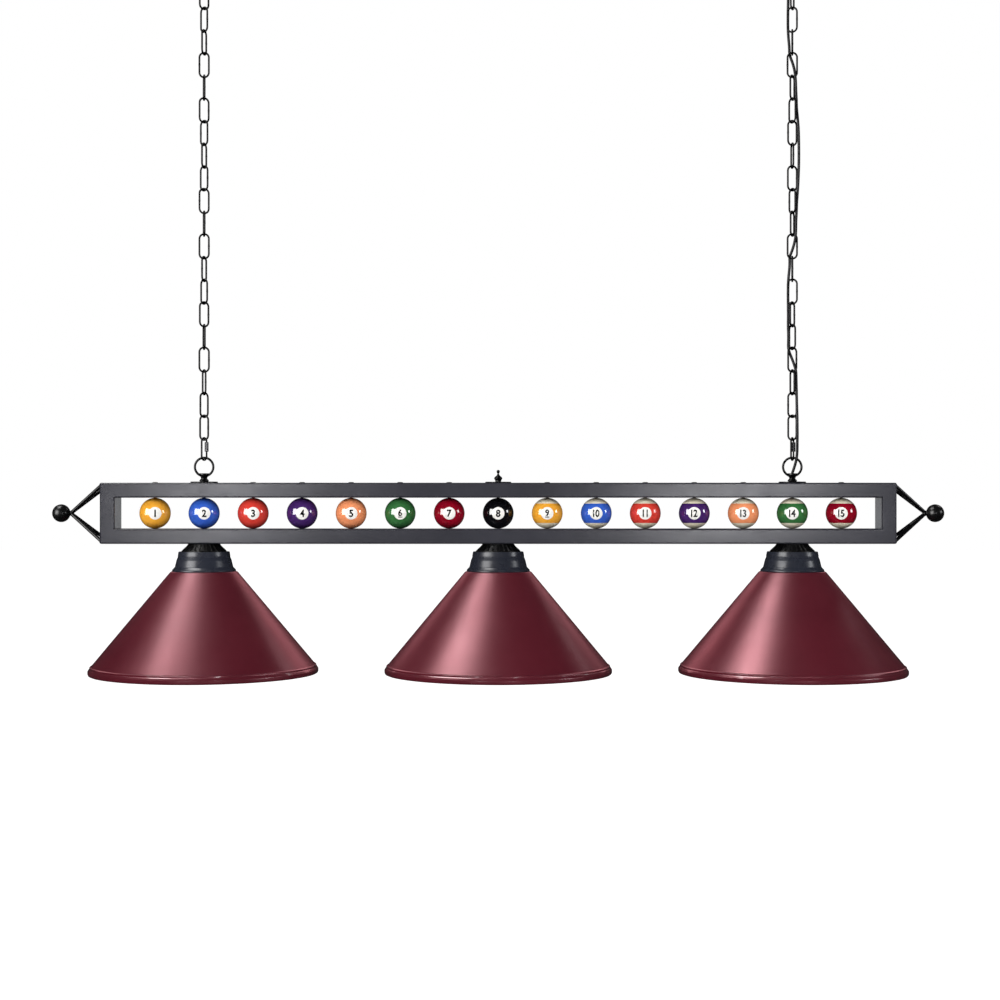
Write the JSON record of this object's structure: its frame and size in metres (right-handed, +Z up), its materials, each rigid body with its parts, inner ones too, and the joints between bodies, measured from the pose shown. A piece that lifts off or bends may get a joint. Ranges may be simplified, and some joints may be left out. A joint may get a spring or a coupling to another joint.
{
  "type": "pool table lamp",
  "caption": "Long hanging lamp for a pool table: a welded frame holding a row of numbered balls, cone shades below, hung on two chains from ceiling canopies.",
  "frame": {"origin": "middle of the lamp at the height of the lowest edge of the shade rims, which is the height that is set above the table", "axes": "+X along the beam to the right, seen from the front; -Y the front; +Z up towards the ceiling"},
  "size_m": [1.499, 0.3826, 1.295],
  "materials": {
    "beam_powder_coat": "satin dark grey powder coat with a fine orange-peel texture",
    "black_powder_coat": "semi-gloss black powder coat",
    "chain_black": "black lacquered steel wire",
    "cord_jacket": "smooth black vinyl jacket",
    "shade_enamel": "burgundy enamel, semi-gloss outside, white inside",
    "zinc_steel": "bright zinc plate",
    "socket_phenolic": "moulded black phenolic",
    "bulb_glass": "frosted white envelope with a metal screw cap",
    "ball_yellow": "polished cast resin",
    "ball_blue": "polished cast resin",
    "ball_red": "polished cast resin",
    "ball_purple": "polished cast resin",
    "ball_orange": "polished cast resin",
    "ball_green": "polished cast resin",
    "ball_maroon": "polished cast resin",
    "ball_black": "polished cast resin",
    "ball_ivory": "polished cast resin, caps of the striped balls and number discs"
  },
  "bodies": {
    "ceiling_set": {"left_canopy": "black_powder_coat", "left_canopy_loop": "black_powder_coat", "left_ceiling_strap": "zinc_steel", "right_canopy": "black_powder_coat", "right_canopy_loop": "black_powder_coat", "right_ceiling_strap": "zinc_steel"},
    "right_top_hook": {"right_top_link": "chain_black"},
    "right_chain_run": {"right_chain": "chain_black", "power_cord": "cord_jacket"},
    "right_bottom_hook": {"right_quick_link": "chain_black"},
    "right_sleeve_nut": {"right_quick_link_sleeve": "chain_black"},
    "left_top_hook": {"left_top_link": "chain_black"},
    "left_chain_run": {"left_chain": "chain_black"},
    "left_bottom_hook": {"left_quick_link": "chain_black"},
    "left_sleeve_nut": {"left_quick_link_sleeve": "chain_black"},
    "fixture": {"beam_frame": "beam_powder_coat", "centre_plate": "black_powder_coat", "centre_finial": "black_powder_coat", "cord_tail": "cord_jacket", "left_spoke_bracket": "black_powder_coat", "left_end_knob": "black_powder_coat", "left_hanger_plate": "black_powder_coat", "left_hanger_loop": "black_powder_coat", "right_spoke_bracket": "black_powder_coat", "right_end_knob": "black_powder_coat", "right_hanger_plate": "black_powder_coat", "right_hanger_loop": "black_powder_coat", "left_vent_cap": "black_powder_coat", "left_fitter_cup": "black_powder_coat", "left_shade": "shade_enamel", "left_nipple": "zinc_steel", "left_socket": "socket_phenolic", "middle_vent_cap": "black_powder_coat", "middle_fitter_cup": "black_powder_coat", "middle_shade": "shade_enamel", "middle_nipple": "zinc_steel", "middle_socket": "socket_phenolic", "right_vent_cap": "black_powder_coat", "right_fitter_cup": "black_powder_coat", "right_shade": "shade_enamel", "right_nipple": "zinc_steel", "right_socket": "socket_phenolic"},
    "left_lamp": {"left_bulb": "bulb_glass"},
    "middle_lamp": {"middle_bulb": "bulb_glass"},
    "right_lamp": {"right_bulb": "bulb_glass"},
    "ball_turn_01": {"ball_01": "ball_yellow"},
    "ball_turn_02": {"ball_02": "ball_blue"},
    "ball_turn_03": {"ball_03": "ball_red"},
    "ball_turn_04": {"ball_04": "ball_purple"},
    "ball_turn_05": {"ball_05": "ball_orange"},
    "ball_turn_06": {"ball_06": "ball_green"},
    "ball_turn_07": {"ball_07": "ball_maroon"},
    "ball_turn_08": {"ball_08": "ball_black"},
    "ball_turn_09": {"ball_09": "ball_yellow"},
    "ball_turn_10": {"ball_10": "ball_blue"},
    "ball_turn_11": {"ball_11": "ball_red"},
    "ball_turn_12": {"ball_12": "ball_purple"},
    "ball_turn_13": {"ball_13": "ball_orange"},
    "ball_turn_14": {"ball_14": "ball_green"},
    "ball_turn_15": {"ball_15": "ball_maroon"}
  },
  "joints": [
    {"name": "chain_swing", "type": "hinge", "parent": "ceiling_set", "child": "right_top_hook", "pos_m": [0.4944, 0, 1.2296], "axis": [1, 0, 0], "range_deg": [-20, 20]},
    {"name": "chain_sway", "type": "hinge", "parent": "right_top_hook", "child": "right_chain_run", "pos_m": [0.4944, 0, 1.19185], "axis": [0, 1, 0], "range_deg": [-15, 15]},
    {"name": "right_hook_level", "type": "hinge", "parent": "right_chain_run", "child": "right_bottom_hook", "pos_m": [0.4944, 0, 0.39525], "axis": [0, 1, 0], "range_deg": [-15, 15]},
    {"name": "beam_tilt", "type": "hinge", "parent": "right_bottom_hook", "child": "fixture", "pos_m": [0.4944, 0, 0.3619], "axis": [1, 0, 0], "range_deg": [-12, 12]},
    {"name": "left_chain_swing", "type": "hinge", "parent": "ceiling_set", "child": "left_top_hook", "pos_m": [-0.4944, 0, 1.2296], "axis": [1, 0, 0], "range_deg": [-20, 20]},
    {"name": "left_chain_sway", "type": "hinge", "parent": "left_top_hook", "child": "left_chain_run", "pos_m": [-0.4944, 0, 1.19185], "axis": [0, 1, 0], "range_deg": [-15, 15]},
    {"name": "left_hook_level", "type": "hinge", "parent": "left_chain_run", "child": "left_bottom_hook", "pos_m": [-0.4944, 0, 0.39525], "axis": [0, 1, 0], "range_deg": [-15, 15]},
    {"name": "quick_link_left_open", "type": "slide", "parent": "left_bottom_hook", "child": "left_sleeve_nut", "axis": [0, 0, 1], "range_m": [-0.007, 0]},
    {"name": "quick_link_right_open", "type": "slide", "parent": "right_bottom_hook", "child": "right_sleeve_nut", "axis": [0, 0, 1], "range_m": [-0.007, 0]},
    {"name": "bulb_left_out", "type": "slide", "parent": "fixture", "child": "left_lamp", "axis": [0, 0, 1], "range_m": [-0.024, 0]},
    {"name": "bulb_middle_out", "type": "slide", "parent": "fixture", "child": "middle_lamp", "axis": [0, 0, 1], "range_m": [-0.024, 0]},
    {"name": "bulb_right_out", "type": "slide", "parent": "fixture", "child": "right_lamp", "axis": [0, 0, 1], "range_m": [-0.024, 0]},
    {"name": "spin_ball_01", "type": "hinge", "parent": "fixture", "child": "ball_turn_01", "pos_m": [-0.5768, 0, 0.2687], "axis": [0, 0, 1], "continuous": true},
    {"name": "spin_ball_02", "type": "hinge", "parent": "fixture", "child": "ball_turn_02", "pos_m": [-0.4944, 0, 0.2687], "axis": [0, 0, 1], "continuous": true},
    {"name": "spin_ball_03", "type": "hinge", "parent": "fixture", "child": "ball_turn_03", "pos_m": [-0.412, 0, 0.2687], "axis": [0, 0, 1], "continuous": true},
    {"name": "spin_ball_04", "type": "hinge", "parent": "fixture", "child": "ball_turn_04", "pos_m": [-0.3296, 0, 0.2687], "axis": [0, 0, 1], "continuous": true},
    {"name": "spin_ball_05", "type": "hinge", "parent": "fixture", "child": "ball_turn_05", "pos_m": [-0.2472, 0, 0.2687], "axis": [0, 0, 1], "continuous": true},
    {"name": "spin_ball_06", "type": "hinge", "parent": "fixture", "child": "ball_turn_06", "pos_m": [-0.1648, 0, 0.2687], "axis": [0, 0, 1], "continuous": true},
    {"name": "spin_ball_07", "type": "hinge", "parent": "fixture", "child": "ball_turn_07", "pos_m": [-0.0824, 0, 0.2687], "axis": [0, 0, 1], "continuous": true},
    {"name": "spin_ball_08", "type": "hinge", "parent": "fixture", "child": "ball_turn_08", "pos_m": [0, 0, 0.2687], "axis": [0, 0, 1], "continuous": true},
    {"name": "spin_ball_09", "type": "hinge", "parent": "fixture", "child": "ball_turn_09", "pos_m": [0.0824, 0, 0.2687], "axis": [0, 0, 1], "continuous": true},
    {"name": "spin_ball_10", "type": "hinge", "parent": "fixture", "child": "ball_turn_10", "pos_m": [0.1648, 0, 0.2687], "axis": [0, 0, 1], "continuous": true},
    {"name": "spin_ball_11", "type": "hinge", "parent": "fixture", "child": "ball_turn_11", "pos_m": [0.2472, 0, 0.2687], "axis": [0, 0, 1], "continuous": true},
    {"name": "spin_ball_12", "type": "hinge", "parent": "fixture", "child": "ball_turn_12", "pos_m": [0.3296, 0, 0.2687], "axis": [0, 0, 1], "continuous": true},
    {"name": "spin_ball_13", "type": "hinge", "parent": "fixture", "child": "ball_turn_13", "pos_m": [0.412, 0, 0.2687], "axis": [0, 0, 1], "continuous": true},
    {"name": "spin_ball_14", "type": "hinge", "parent": "fixture", "child": "ball_turn_14", "pos_m": [0.4944, 0, 0.2687], "axis": [0, 0, 1], "continuous": true},
    {"name": "spin_ball_15", "type": "hinge", "parent": "fixture", "child": "ball_turn_15", "pos_m": [0.5768, 0, 0.2687], "axis": [0, 0, 1], "continuous": true}
  ],
  "couplings": [
    {"joint": "left_chain_swing", "follows": "chain_swing", "ratio": 1},
    {"joint": "left_chain_sway", "follows": "chain_sway", "ratio": 1},
    {"joint": "right_hook_level", "follows": "chain_sway", "ratio": -1},
    {"joint": "left_hook_level", "follows": "chain_sway", "ratio": -1}
  ]
}
